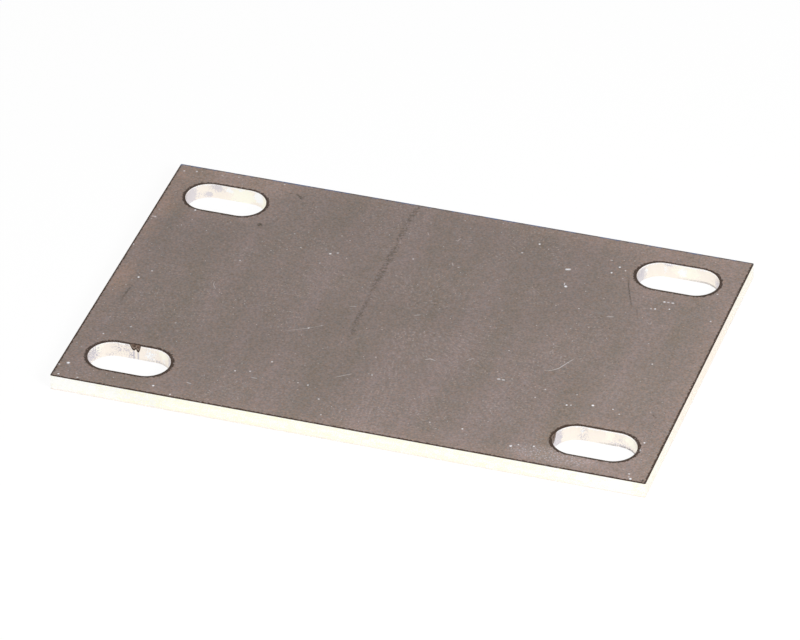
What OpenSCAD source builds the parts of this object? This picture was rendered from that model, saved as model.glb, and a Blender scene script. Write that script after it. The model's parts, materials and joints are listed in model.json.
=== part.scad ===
// Caster mounting plate: one flat steel plate, cut to outline, with a slotted bolt hole near each corner.
// X runs along the plate, Y across it and Z up. The origin is at the middle of the underside.

/* [Bolt pattern] */
// Distance between slot centres along the plate
pattern_l = 139.7; // [60:0.1:300]
// Distance between slot centres across the plate
pattern_w = 85.72; // [40:0.01:200]

/* [Slots] */
// Diameter of the caster bolts
bolt_d = 12.7; // [6:0.1:16]
// How much wider a slot is than its bolt
bolt_clearance = 1.2; // [0.4:0.1:3]
// How far a bolt can shift along its slot
bolt_travel = 10.7; // [4:0.1:22]

/* [Plate] */
// Thickness of the plate
plate_t = 5; // [3:0.01:12.7]
// From a slot's centre to the near end of the plate
end_margin = 19.05; // [14:0.05:50]
// From a slot's centre to the near side of the plate
side_margin = 14.29; // [9:0.01:50]
// Corner radius in plan
corner_r = 0.4; // [0.2:0.1:6]
// Width of the broken edge round both faces and round every slot
edge_break = 0.2; // [0.1:0.05:0.8]

/* [Cut start scars] */
// Depth of the scars into their slot walls, at the top face
scar_depth = 0.45; // [0.3:0.05:0.7]
// Width of the front left scar's wide lobe at the top face
wide_lobe_w = 2.5; // [1:0.1:4]
// How far the wide lobe runs down the wall
wide_lobe_drop = 1.7; // [0.8:0.1:2.8]
// Place of the wide lobe along the slot, from the slot's centre
wide_lobe_x = -1.1; // [-4:0.1:4]
// Width of the narrow lobe at the top face
narrow_lobe_w = 1.9; // [1:0.1:4]
// How far the narrow lobe runs down the wall
narrow_lobe_drop = 2.2; // [0.8:0.1:2.8]
// Place of the narrow lobe along the slot, from the slot's centre
narrow_lobe_x = 0.2; // [-4:0.1:4]
// Width of the front right scar at the top face, across the slot's left end
end_lobe_w = 3.9; // [2:0.1:6]
// How far the front right scar runs down the wall
end_lobe_drop = 2.8; // [0.8:0.1:3.2]

/* [Hidden] */
$fn = 96;
plate_l = pattern_l + 2 * end_margin;
plate_w = pattern_w + 2 * side_margin;
slot_w = bolt_d + bolt_clearance;
slot_wall_y = slot_w / 2;
// How far the round end of a slot curves away over the width of the end scar
end_lobe_sag = slot_wall_y - sqrt(pow(slot_wall_y, 2) - pow(end_lobe_w / 2, 2));
// How far cutting shapes run past the faces that they cut
overcut = 1;
// How far a scar lobe's cone runs on below its tip on the wall
scar_toe = 0.1;
inward = 1;
outward = -1;
mill_steel = [0.54, 0.49, 0.47];

// One side of a section at this half width, bottom to top, with both edges broken inward or outward
function section_side(half, way, over) = [
    [half - way * (edge_break + over), -over],
    [half, edge_break],
    [half, plate_t - edge_break],
    [half - way * (edge_break + over), plate_t + over]
];

// The same section from the middle line out, for turning
function half_section(half, way, over) = concat(
    [[0, -over]],
    section_side(half, way, over),
    [[0, plate_t + over]]
);

// The same section on both sides of the middle line, for extruding
function full_section(half, way, over) =
    let (side = section_side(half, way, over))
    concat(side, [for (i = [len(side) - 1:-1:0]) [-side[i][0], side[i][1]]]);

// Outline of the plate seen from above
module outline() {
    square([plate_l - 2 * corner_r, plate_w], center = true);
    square([plate_l, plate_w - 2 * corner_r], center = true);
    for (x = [-1, 1], y = [-1, 1])
        translate([x * (plate_l / 2 - corner_r), y * (plate_w / 2 - corner_r)])
            circle(corner_r);
}

// The plate before its slots: end-on, side-on and plan profiles, each extruded and kept where all three meet
module blank() {
    intersection() {
        rotate([90, 0, 0])
            linear_extrude(plate_w + 2 * overcut, center = true)
                polygon(full_section(plate_l / 2, inward, 0));
        rotate([90, 0, 90])
            linear_extrude(plate_l + 2 * overcut, center = true)
                polygon(full_section(plate_w / 2, inward, edge_break));
        translate([0, 0, -overcut])
            linear_extrude(plate_t + 2 * overcut)
                outline();
    }
}

// What is cut away for one slot, flared where its edges are broken
module slot_cut() {
    for (end = [-1, 1])
        translate([end * bolt_travel / 2, 0, 0])
            rotate_extrude()
                polygon(half_section(slot_wall_y, outward, overcut));
    rotate([90, 0, 90])
        linear_extrude(bolt_travel, center = true)
            polygon(full_section(slot_wall_y, outward, overcut));
}

// One lobe of a scar: an upright cone that bites into the wall behind it, which is flat or curves away by wall_sag
module scar_lobe(width, drop, wall_sag = 0) {
    rim_rise = scar_depth + wall_sag;
    rim_r = (pow(width / 2, 2) + pow(rim_rise, 2)) / (2 * rim_rise);
    slope = scar_depth / drop;
    run = drop + scar_toe;
    translate([0, slot_wall_y + scar_depth - rim_r, plate_t - run])
        cylinder(
            h = run + overcut,
            r1 = rim_r - slope * run,
            r2 = rim_r + slope * overcut
        );
}

// Two lobes side by side in the rear wall of a slot, where its cut was started
module rear_wall_scar() {
    translate([wide_lobe_x, 0, 0])
        scar_lobe(wide_lobe_w, wide_lobe_drop);
    translate([narrow_lobe_x, 0, 0])
        scar_lobe(narrow_lobe_w, narrow_lobe_drop);
}

// One lobe in the round left end of a slot
module left_end_scar() {
    translate([-bolt_travel / 2, 0, 0])
        rotate([0, 0, 90])
            scar_lobe(end_lobe_w, end_lobe_drop, end_lobe_sag);
}

module mounting_plate() {
    color(mill_steel)
        difference() {
            blank();
            for (x = [-1, 1], y = [-1, 1])
                translate([x * pattern_l / 2, y * pattern_w / 2, 0])
                    slot_cut();
            translate([-pattern_l / 2, -pattern_w / 2, 0])
                rear_wall_scar();
            translate([pattern_l / 2, -pattern_w / 2, 0])
                left_end_scar();
        }
}

mounting_plate();
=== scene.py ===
"""Looks of a caster mounting plate: a thermally cut steel plate with four bolt slots, in plain studio light.

Sizes are in millimetres in the plate's own frame: X along the plate, Y across it, Z up from its underside.
Meshes are made in metres.
"""

import json
import logging
import math
import random
from dataclasses import dataclass
from enum import Enum
from typing import Any, NamedTuple

import bpy
import numpy as np
from mathutils import Matrix, Vector
from mathutils.geometry import delaunay_2d_cdt

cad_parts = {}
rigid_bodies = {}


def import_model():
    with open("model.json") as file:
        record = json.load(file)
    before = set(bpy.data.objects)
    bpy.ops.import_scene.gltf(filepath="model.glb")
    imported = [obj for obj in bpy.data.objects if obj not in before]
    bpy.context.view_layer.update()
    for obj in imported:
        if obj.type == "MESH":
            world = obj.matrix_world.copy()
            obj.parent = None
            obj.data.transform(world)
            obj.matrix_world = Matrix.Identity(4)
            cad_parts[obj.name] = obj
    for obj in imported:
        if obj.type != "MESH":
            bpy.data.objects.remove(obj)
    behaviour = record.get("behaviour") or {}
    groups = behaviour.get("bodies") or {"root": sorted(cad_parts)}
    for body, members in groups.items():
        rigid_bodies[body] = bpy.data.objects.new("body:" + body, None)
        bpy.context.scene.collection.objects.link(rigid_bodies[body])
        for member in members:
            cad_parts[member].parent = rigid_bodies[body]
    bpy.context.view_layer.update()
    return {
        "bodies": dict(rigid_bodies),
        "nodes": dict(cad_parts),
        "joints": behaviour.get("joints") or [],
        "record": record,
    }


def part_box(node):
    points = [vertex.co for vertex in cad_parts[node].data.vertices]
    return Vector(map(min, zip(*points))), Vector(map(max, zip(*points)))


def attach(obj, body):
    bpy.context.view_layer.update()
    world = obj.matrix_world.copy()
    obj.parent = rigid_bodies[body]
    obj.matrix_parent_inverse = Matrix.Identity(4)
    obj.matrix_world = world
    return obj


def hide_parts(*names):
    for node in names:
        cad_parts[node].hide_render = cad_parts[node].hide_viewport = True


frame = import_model()

LOG = logging.getLogger("caster_plate")
MM = 0.001
QUARTER_TURN = math.pi / 2
CONTACT_SHADE_START = 0.2
UP = (0.0, 0.0, 1.0)
FLAT = (1.0, 1.0, 0.0)
FULL = (1.0, 1.0, 1.0)
WHITE = (*FULL, 1.0)
NOISE_MIDDLE = 0.5
HULL_TRIANGLES = 0

# Places of a colour mix node's sockets
MIX_FACTOR = 0
MIX_FIRST = 6
MIX_SECOND = 7
MIX_RESULT = 2

# How a screen channel becomes linear light
CHANNEL_FULL = 255
CHANNEL_KNEE = 0.04045
CHANNEL_SLOPE = 12.92
CHANNEL_OFFSET = 0.055
CHANNEL_POWER = 2.4

Point = tuple[float, float]
Triple = tuple[float, float, float]
Socket = bpy.types.NodeSocket
Sockets = bpy.types.NodeOutputs


class Finish(Enum):
    """Which finish a face of the plate carries; the value is its material slot."""

    MILL = 0
    CUT = 1


class Mark(Enum):
    """What a mark on a rolled face shows; the value names its mesh attribute."""

    BARE = "bare"
    STAIN = "stain"
    STREAK = "streak"


class WallTone(Enum):
    """What a patch of a slot's wall shows; the value names its mesh attribute."""

    # Grey: painted shade at the slots' round ends and along their feet; elsewhere it greys the wall in
    # patches.
    GREY = "grey"
    STIPPLE = "stipple"
    # White: painted glints on the slot walls.
    WHITE = "white"
    CREAM = "cream"


class Side(Enum):
    """On which side of a closed cut the air is; the value is the sign of the outward direction."""

    OUTSIDE = 1.0
    INSIDE = -1.0


@dataclass(frozen=True)
class Paint:
    """A colour as it is seen on a screen, with channels from 0 to 255."""

    red: float
    green: float
    blue: float

    def linear(self) -> tuple[float, float, float, float]:
        """Gives the colour as linear light, for a colour socket.

        Returns:
            The three channels and full alpha.
        """
        light = []
        for channel in (self.red, self.green, self.blue):
            share = channel / CHANNEL_FULL
            lifted = (share + CHANNEL_OFFSET) / (1.0 + CHANNEL_OFFSET)
            light.append(share / CHANNEL_SLOPE if share <= CHANNEL_KNEE else lifted**CHANNEL_POWER)
        return (*light, 1.0)


class Graph:
    """Short calls for wiring one node tree, of shaders or of geometry."""

    def __init__(self, tree: bpy.types.NodeTree) -> None:
        """Keeps the tree that the calls add to."""
        self.tree = tree

    def node(self, kind: str, inputs: dict[str | int, Any] | None = None, **settings: Any) -> bpy.types.Node:
        """Adds a node.

        Args:
            kind: Blender's name for the type of node.
            inputs: Values or sockets for the node's inputs, by name or by place.
            **settings: The node's own properties.

        Returns:
            The new node.
        """
        made = self.tree.nodes.new(kind)
        for name, value in settings.items():
            setattr(made, name, value)
        for key, value in (inputs or {}).items():
            self.feed(made.inputs[key], value)
        return made

    def feed(self, socket: Socket, value: Any) -> None:
        """Links a socket to an input, or sets the input to a value.

        Args:
            socket: The input to feed.
            value: An output socket, a paint, or a plain value of the input's own type.
        """
        if isinstance(value, Socket):
            self.tree.links.new(value, socket)
        else:
            socket.default_value = value.linear() if isinstance(value, Paint) else value

    def math(self, operation: str, first: Any, second: Any = 0.0, clamp: bool = False) -> Socket:
        """Works out one sum on numbers, by Blender's name for it; clamp keeps it from 0 to 1."""
        made = self.node("ShaderNodeMath", {0: first, 1: second}, operation=operation, use_clamp=clamp)
        return made.outputs["Value"]

    def vector(self, operation: str, first: Any, second: Any) -> Socket:
        """Works out one sum on vectors, by Blender's name for it."""
        made = self.node("ShaderNodeVectorMath", {0: first, 1: second}, operation=operation)
        return made.outputs["Vector"]

    def scaled(self, vector: Any, factor: Any) -> Socket:
        """Multiplies a vector by a number."""
        made = self.node("ShaderNodeVectorMath", {0: vector, "Scale": factor}, operation="SCALE")
        return made.outputs["Vector"]

    def length(self, vector: Any) -> Socket:
        """Gives a vector's length."""
        return self.node("ShaderNodeVectorMath", {0: vector}, operation="LENGTH").outputs["Value"]

    def ease(self, value: Any, low: Any, high: Any) -> Socket:
        """Rises smoothly from 0 where the value is low to 1 where it is high; low may be above high."""
        inputs = {"Value": value, "From Min": low, "From Max": high}
        return self.node("ShaderNodeMapRange", inputs, interpolation_type="SMOOTHSTEP").outputs["Result"]

    def spread(self, value: Any, low: float, high: float) -> Socket:
        """Takes a share from 0 to 1 to a number from low to high."""
        inputs = {"Value": value, "To Min": low, "To Max": high}
        return self.node("ShaderNodeMapRange", inputs).outputs["Result"]

    def mix(self, factor: Any, first: Any, second: Any) -> Socket:
        """Mixes two colours, with the given share of the second."""
        inputs = {MIX_FACTOR: factor, MIX_FIRST: first, MIX_SECOND: second}
        return self.node("ShaderNodeMix", inputs, data_type="RGBA").outputs[MIX_RESULT]

    def noise(self, vector: Any, scale: Any, detail: Any = 2.0, output: str = "Fac") -> Socket:
        """Reads a noise pattern with so many features to a unit and so many finer octaves."""
        inputs = {"Vector": vector, "Scale": scale, "Detail": detail}
        return self.node("ShaderNodeTexNoise", inputs).outputs[output]

    def attribute(self, name: str, output: str = "Fac") -> Socket:
        """Reads one of the mesh's own attributes."""
        made = self.node("ShaderNodeAttribute", attribute_type="GEOMETRY", attribute_name=name)
        return made.outputs[output]


class NodeGroup:
    """A node group with named inputs and outputs, and the graph inside it."""

    def __init__(self, name: str, kind: str, inputs: dict[str, str], outputs: dict[str, str]) -> None:
        """Makes the empty group.

        Args:
            name: The group's name.
            kind: Blender's name for the type of tree.
            inputs: The kind of socket for each named input.
            outputs: The kind of socket for each named output.
        """
        self.tree = bpy.data.node_groups.new(name, kind)
        self.identifiers: dict[str, str] = {}
        for label, socket in inputs.items():
            made = self.tree.interface.new_socket(label, in_out="INPUT", socket_type="NodeSocket" + socket)
            self.identifiers[label] = made.identifier
        for label, socket in outputs.items():
            self.tree.interface.new_socket(label, in_out="OUTPUT", socket_type="NodeSocket" + socket)
        self.graph = Graph(self.tree)
        self.given = self.graph.node("NodeGroupInput").outputs
        self.result = self.graph.node("NodeGroupOutput").inputs

    def place(self, graph: Graph, inputs: dict[str, Any]) -> Sockets:
        """Places the group in a material.

        Args:
            graph: The material's graph.
            inputs: Values or sockets for the group's named inputs.

        Returns:
            The placed group's outputs.
        """
        made = graph.node("ShaderNodeGroup", node_tree=self.tree)
        for label, value in inputs.items():
            graph.feed(made.inputs[label], value)
        return made.outputs


class Effects:
    """The shader effects that the finishes share, each built once."""

    def __init__(self) -> None:
        """Builds every effect."""
        self.streaks = self._streaks()
        self.speckle = self._speckle()
        self.edge_distance = self._edge_distance()

    @staticmethod
    def _streaks() -> NodeGroup:
        """Builds long soft streaks: noise that is stretched by a different amount along each axis.

        Returns:
            The effect.
        """
        inputs = {"Place": "Vector", "Stretch": "Vector", "Detail": "Float", "Contrast": "Float"}
        group = NodeGroup("Streaks", "ShaderNodeTree", inputs, {"Mask": "Float"})
        graph = group.graph
        given = group.given
        stretched = graph.vector("DIVIDE", given["Place"], given["Stretch"])
        raw = graph.noise(stretched, 1.0, given["Detail"])
        centred = graph.math("SUBTRACT", raw, NOISE_MIDDLE)
        lifted = graph.math("MULTIPLY", centred, given["Contrast"])
        graph.feed(group.result["Mask"], graph.math("ADD", lifted, NOISE_MIDDLE, clamp=True))
        return group

    @staticmethod
    def _speckle() -> NodeGroup:
        """Builds fine grain, as a value and as a second value for its tone, both about 0.

        Returns:
            The effect.
        """
        inputs = {"Place": "Vector", "Size": "Float"}
        group = NodeGroup("Speckle", "ShaderNodeTree", inputs, {"Value": "Float", "Tone": "Float"})
        graph = group.graph
        given = group.given
        scale = graph.math("DIVIDE", 1.0, given["Size"])
        grain = graph.noise(given["Place"], scale, output="Color")
        split = graph.node("ShaderNodeSeparateColor", {"Color": grain})
        for label, channel in (("Value", "Red"), ("Tone", "Blue")):
            graph.feed(group.result[label], graph.math("SUBTRACT", split.outputs[channel], NOISE_MIDDLE))
        return group

    @staticmethod
    def _edge_distance() -> NodeGroup:
        """Builds a rolled face's distances to the outline, to the nearest slot and past its straight part.

        Returns:
            The effect.
        """
        labels = ("Half length", "Half width", "Slot X", "Slot Y", "Half travel", "Slot radius")
        inputs = {"Place": "Vector"} | {label: "Float" for label in labels}
        outputs = {label: "Float" for label in ("To outline", "To slot", "Past travel")}
        group = NodeGroup("Edge distance", "ShaderNodeTree", inputs, outputs)
        graph = group.graph
        given = group.given
        split = graph.node("ShaderNodeSeparateXYZ", {"Vector": given["Place"]})
        across = graph.math("ABSOLUTE", split.outputs["X"])
        up = graph.math("ABSOLUTE", split.outputs["Y"])
        to_end = graph.math("SUBTRACT", given["Half length"], across)
        to_side = graph.math("SUBTRACT", given["Half width"], up)
        to_outline = graph.math("MINIMUM", to_end, to_side)
        off_centre = graph.math("ABSOLUTE", graph.math("SUBTRACT", across, given["Slot X"]))
        past_travel = graph.math("MAXIMUM", graph.math("SUBTRACT", off_centre, given["Half travel"]), 0.0)
        off_line = graph.math("SUBTRACT", up, given["Slot Y"])
        offset = graph.node("ShaderNodeCombineXYZ", {"X": past_travel, "Y": off_line}).outputs["Vector"]
        to_slot = graph.math("SUBTRACT", graph.length(offset), given["Slot radius"])
        for label, value in zip(outputs, (to_outline, to_slot, past_travel)):
            graph.feed(group.result[label], value)
        return group


class MarkPoint(NamedTuple):
    """One point of a mark on a rolled face: its place, how far it lies under the face and what it shows."""

    x: float
    y: float
    drop: float
    kind: Mark
    strength: float


@dataclass(frozen=True)
class Scratch:
    """A line scraped or stained into a rolled face, as a shallow groove that tapers at both ends."""

    path: tuple[Point, ...]
    width: float
    strength: float
    kind: Mark = Mark.BARE
    fade: float = 1.0
    depth: float = 0.012
    step: float = 0.35

    def points(self) -> list[MarkPoint]:
        """Gives the groove's points: its bottom line, and a rim line on each side of it.

        Returns:
            The points, with no strength on the rims and the ends.
        """
        corners = np.array(self.path)
        runs = np.hypot(*np.diff(corners, axis=0).T)
        stops = np.concatenate([[0.0], np.cumsum(runs)])
        count = max(2, round(stops[-1] / self.step))
        places = np.linspace(0.0, stops[-1], count + 1)
        line = np.stack([np.interp(places, stops, corners[:, axis]) for axis in (0, 1)], axis=1)
        ahead = np.gradient(line, axis=0)
        aside = np.stack([-ahead[:, 1], ahead[:, 0]], axis=1) / np.hypot(*ahead.T)[:, None]
        made = []
        for stop, middle, over in zip(places / stops[-1], line, aside * self.width / 2):
            taper = math.sin(math.pi * stop) ** 0.5 if 0.0 < stop < 1.0 else 0.0
            shown = self.strength * taper * (1.0 - (1.0 - self.fade) * stop)
            made.append(MarkPoint(*middle, self.depth * taper, self.kind, shown))
            if taper:
                made += [MarkPoint(*(middle + way * over), 0.0, self.kind, 0.0) for way in (-1.0, 1.0)]
        return made


@dataclass(frozen=True)
class Pit:
    """A small round chip or spot in a rolled face."""

    place: Point
    radius: float
    strength: float = 1.0
    kind: Mark = Mark.BARE
    depth: float = 0.02
    sides: int = 7
    floor_share: float = 0.45

    def points(self) -> list[MarkPoint]:
        """Gives the pit's points: a rim, and a smaller ring at its bottom.

        Returns:
            The points, with no strength on the rim.
        """
        made = []
        for share, drop, shown in ((1.0, 0.0, 0.0), (self.floor_share, self.depth, self.strength)):
            for turn in np.linspace(0.0, math.tau, self.sides, endpoint=False):
                x = self.place[0] + self.radius * share * math.cos(turn)
                y = self.place[1] + self.radius * share * math.sin(turn)
                made.append(MarkPoint(x, y, drop, self.kind, shown))
        return made


@dataclass(frozen=True)
class ScarLobe:
    """One lobe of a scar where a cut was started: an upright cone that bites into the wall of a slot."""

    along: float
    width: float
    drop: float
    depth: float = 0.45

    def reach(self, along: np.ndarray, below: np.ndarray, wall: float, sag: float) -> np.ndarray:
        """Works out how far the cone reaches, measured square to the wall from the middle of the slot.

        Args:
            along: Places along the wall.
            below: Depths under the top face.
            wall: Where the wall is.
            sag: How far a round wall curves away over the lobe's width.

        Returns:
            The reach at each place, or 0 where the cone doesn't come.
        """
        rise = self.depth + sag
        rim = ((self.width / 2) ** 2 + rise**2) / (2 * rise)
        radius = np.maximum(rim - self.depth / self.drop * below, 0.0)
        inside = radius**2 - (along - self.along) ** 2
        reach = wall + self.depth - rim + np.sqrt(np.maximum(inside, 0.0))
        return np.where((inside > 0.0) & (below < self.drop), reach, 0.0)


@dataclass(frozen=True)
class Scar:
    """The lobes of one scar, in the wall of the slot that lies on the given sides of the plate."""

    slot_side: Point
    turn: float
    from_centre: float
    lobes: tuple[ScarLobe, ...]
    burn_margin: float = 0.0
    burn_tip: float = 0.0
    trail_width: float = 0.22

    def local(self, places: np.ndarray, centre: Point) -> tuple[np.ndarray, np.ndarray]:
        """Turns places on the plate into places along the scarred wall and square to it.

        Args:
            places: Points on the plate.
            centre: The middle of the slot.

        Returns:
            The places along the wall, and the places square to it.
        """
        ahead = np.array([math.cos(self.turn), math.sin(self.turn)])
        into = np.array([-ahead[1], ahead[0]])
        offset = places[:, :2] - np.array(centre) - into * self.from_centre
        return offset @ ahead, offset @ into


@dataclass(frozen=True)
class WallPatch:
    """An oval patch of a slot's wall, by its place along the slot and its share of the way down."""

    tone: WallTone
    middle: Point
    half_size: Point
    strength: float = 1.0
    inner: float = 0.3
    outer: float = 1.35

    def cover(self, along: np.ndarray, down: np.ndarray) -> np.ndarray:
        """Works out how much of the patch shows.

        Args:
            along: Places along the slot, from its middle.
            down: Shares of the way down the wall.

        Returns:
            The patch's strength at each place, fading out at its edge.
        """
        beside = (along - self.middle[0]) / self.half_size[0]
        below = (down - self.middle[1]) / self.half_size[1]
        off = np.hypot(beside, below)
        return self.strength * np.clip((self.outer - off) / (self.outer - self.inner), 0.0, 1.0)


@dataclass(frozen=True)
class SlotLook:
    """How the wall of the slot on the given sides looks: its warm tint, which is painted shade inside the
    slot, the painted contact shade along its foot, and its patches.
    """

    side: Point = (0.0, 0.0)
    warm: float = 0.0
    foot: float = 0.0
    patches: tuple[WallPatch, ...] = ()


@dataclass(frozen=True)
class CutPath:
    """A closed cut through the plate: the outline, or one of the slots."""

    name: str
    length: float
    width: float
    corner: float
    centre: Point
    air: Side
    spacing: float
    wall_rows: int
    seed: int
    look: SlotLook = SlotLook()


@dataclass
class CutStrip:
    """The mesh of one cut edge, from the rim on the top face down to the rim on the underside."""

    path: CutPath
    points: np.ndarray
    quads: np.ndarray
    row: np.ndarray
    columns: dict[str, np.ndarray]

    def rim(self, row: int) -> np.ndarray:
        """Gives the points of one row, in order and counter-clockwise seen from above.

        Args:
            row: The row's number, from the top.

        Returns:
            The points' numbers.
        """
        found = np.flatnonzero(self.row == row)
        x, y = self.points[found, 0], self.points[found, 1]
        area = np.sum(x * np.roll(y, -1) - y * np.roll(x, -1))
        return found if area > 0.0 else found[::-1]


@dataclass(frozen=True)
class CutEdgeSweep:
    """Sweeps the section of a cut edge along a closed path, with the drag lines that the cut left."""

    thickness: float
    edge_break: float
    arc_steps: int = 3
    corner_steps: int = 24
    drag_depth: float = 0.03
    drag_pitch: float = 0.7
    drag_lag: float = 1.2
    drag_detail: float = 1.0
    drag_start: Point = (0.0, 0.2)
    drag_stop: Point = (1.0, 0.9)
    drag_growth: Point = (0.35, 1.0)
    seed_step: float = 37.0

    def tree(self, material: bpy.types.Material) -> NodeGroup:
        """Builds the geometry node tree.

        Args:
            material: The finish of the cut.

        Returns:
            The tree, with a named input for each size.
        """
        lengths = ("Length", "Width", "Corner radius", "Thickness", "Edge break", "Spacing", "Air side")
        inputs = {label: "Float" for label in (*lengths, "Drag depth", "Drag pitch", "Drag lag", "Seed")}
        inputs |= {"Centre": "Vector", "Wall rows": "Int", "Arc steps": "Int", "Corner steps": "Int"}
        group = NodeGroup("Cut edge", "GeometryNodeTree", inputs, {"Geometry": "Geometry"})
        graph = group.graph
        given = group.given
        rail = self._rail(graph, given)
        section = self._section(graph, given)
        sheet = graph.node(
            "GeometryNodeCurveToMesh",
            {"Curve": rail.outputs["Geometry"], "Profile Curve": section.outputs["Geometry"]},
        )
        row = section.outputs["Row"]
        out, height, share = self._profile(graph, given, row)
        ahead = graph.scaled(rail.outputs["Ahead"], graph.math("MULTIPLY", given["Drag lag"], share))
        lagged = graph.vector("ADD", rail.outputs["Rail"], graph.scaled(ahead, share))
        bite = self._bite(graph, given, lagged, share)
        lift = graph.node("ShaderNodeCombineXYZ", {"Z": height}).outputs["Vector"]
        push = graph.scaled(rail.outputs["Air"], graph.math("SUBTRACT", out, bite))
        flat = graph.vector("ADD", graph.vector("ADD", rail.outputs["Rail"], push), lift)
        place = graph.vector("ADD", flat, given["Centre"])
        shape = graph.node("GeometryNodeSetPosition", {"Geometry": sheet.outputs["Mesh"], "Position": place})
        depth = graph.math("DIVIDE", graph.math("SUBTRACT", given["Thickness"], height), given["Thickness"])
        stored = shape.outputs["Geometry"]
        for label, kind, value in (
            ("row", "FLOAT", row),
            ("down", "FLOAT", depth),
            ("air", "FLOAT_VECTOR", rail.outputs["Air"]),
            ("cut_place", "FLOAT_VECTOR", graph.vector("ADD", lagged, given["Centre"])),
        ):
            keep = {"Geometry": stored, "Name": label, "Value": value}
            stored = graph.node("GeometryNodeStoreNamedAttribute", keep, data_type=kind).outputs["Geometry"]
        real = graph.node("GeometryNodeRealizeInstances", {"Geometry": stored})
        finish = {"Geometry": real.outputs["Geometry"], "Material": material}
        dressed = graph.node("GeometryNodeSetMaterial", finish)
        graph.feed(group.result["Geometry"], dressed.outputs["Geometry"])
        return group

    @staticmethod
    def _rail(graph: Graph, given: Sockets) -> bpy.types.Node:
        """Adds the path of the cut: a rectangle with round corners, in even steps.

        Args:
            graph: The tree's graph.
            given: The tree's inputs.

        Returns:
            The node that gives the path, with its place, its direction and the direction to the air.
        """
        size = {"Width": given["Length"], "Height": given["Width"]}
        box = graph.node("GeometryNodeCurvePrimitiveQuadrilateral", size, mode="RECTANGLE")
        rounding = {
            "Curve": box.outputs["Curve"],
            "Count": given["Corner steps"],
            "Radius": given["Corner radius"],
            "Limit Radius": True,
        }
        rounded = graph.node("GeometryNodeFilletCurve", rounding, mode="POLY")
        steps = {"Curve": rounded.outputs["Curve"], "Length": given["Spacing"]}
        even = graph.node("GeometryNodeResampleCurve", steps, mode="LENGTH")
        tangent = graph.node("GeometryNodeInputTangent").outputs["Tangent"]
        square = graph.vector("NORMALIZE", graph.vector("CROSS_PRODUCT", tangent, UP), UP)
        capture = graph.node("GeometryNodeCaptureAttribute", {"Geometry": even.outputs["Curve"]})
        for label, value in (
            ("Rail", graph.node("GeometryNodeInputPosition").outputs["Position"]),
            ("Ahead", tangent),
            ("Air", graph.scaled(square, given["Air side"])),
        ):
            capture.capture_items.new("VECTOR", label)
            graph.feed(capture.inputs[label], value)
        return capture

    @staticmethod
    def _section(graph: Graph, given: Sockets) -> bpy.types.Node:
        """Adds a line with one point for each row of the edge.

        Args:
            graph: The tree's graph.
            given: The tree's inputs.

        Returns:
            The node that gives the line, with the number of each row.
        """
        arcs = graph.math("MULTIPLY", given["Arc steps"], 2.0)
        rows = graph.math("ADD", graph.math("ADD", arcs, given["Wall rows"]), 1.0)
        line = graph.node("GeometryNodeCurvePrimitiveLine", {"End": UP})
        steps = {"Curve": line.outputs["Curve"], "Count": rows}
        even = graph.node("GeometryNodeResampleCurve", steps, mode="COUNT")
        capture = graph.node("GeometryNodeCaptureAttribute", {"Geometry": even.outputs["Curve"]})
        capture.capture_items.new("FLOAT", "Row")
        graph.feed(capture.inputs["Row"], graph.node("GeometryNodeInputIndex").outputs["Index"])
        return capture

    @staticmethod
    def _profile(graph: Graph, given: Sockets, row: Socket) -> tuple[Any, Any, Any]:
        """Adds the shape of the section: a rounded top edge, the wall and a rounded bottom edge.

        Args:
            graph: The tree's graph.
            given: The tree's inputs.
            row: The number of the row.

        Returns:
            How far the row lies to the air side of the path, its height, and its share down the wall.
        """
        edge = given["Edge break"]
        steps = given["Arc steps"]
        top_share = graph.math("DIVIDE", row, steps, clamp=True)
        past_top = graph.math("SUBTRACT", row, steps)
        wall_share = graph.math("DIVIDE", past_top, given["Wall rows"], clamp=True)
        past_wall = graph.math("SUBTRACT", past_top, given["Wall rows"])
        foot_share = graph.math("DIVIDE", past_wall, steps, clamp=True)
        top_turn = graph.math("MULTIPLY", top_share, QUARTER_TURN)
        foot_turn = graph.math("MULTIPLY", foot_share, QUARTER_TURN)
        top_in = graph.math("SUBTRACT", graph.math("SINE", top_turn), 1.0)
        foot_in = graph.math("SUBTRACT", graph.math("COSINE", foot_turn), 1.0)
        out = graph.math("MULTIPLY", edge, graph.math("ADD", top_in, foot_in))
        top_fall = graph.math("SUBTRACT", 1.0, graph.math("COSINE", top_turn))
        round_fall = graph.math("MULTIPLY", edge, graph.math("ADD", top_fall, graph.math("SINE", foot_turn)))
        wall = graph.math("SUBTRACT", given["Thickness"], graph.math("MULTIPLY", edge, 2.0))
        fall = graph.math("ADD", round_fall, graph.math("MULTIPLY", wall_share, wall))
        return out, graph.math("SUBTRACT", given["Thickness"], fall), wall_share

    def _bite(self, graph: Graph, given: Sockets, lagged: Any, share: Any) -> Socket:
        """Adds the drag lines: fine flutes into the wall that deepen on the way down.

        Args:
            graph: The tree's graph.
            given: The tree's inputs.
            lagged: Where each point's flute started at the top of the wall.
            share: Each point's share of the way down the wall.

        Returns:
            How far each point lies in the flute.
        """
        seed = graph.node("ShaderNodeCombineXYZ", {"Z": given["Seed"]}).outputs["Vector"]
        scale = graph.math("DIVIDE", 1.0, given["Drag pitch"])
        flutes = graph.noise(graph.vector("ADD", lagged, seed), scale, self.drag_detail)
        ends = graph.math("MULTIPLY", graph.ease(share, *self.drag_start), graph.ease(share, *self.drag_stop))
        fade = graph.math("MULTIPLY", ends, graph.spread(share, *self.drag_growth))
        return graph.math("MULTIPLY", graph.math("MULTIPLY", flutes, fade), given["Drag depth"])

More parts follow.
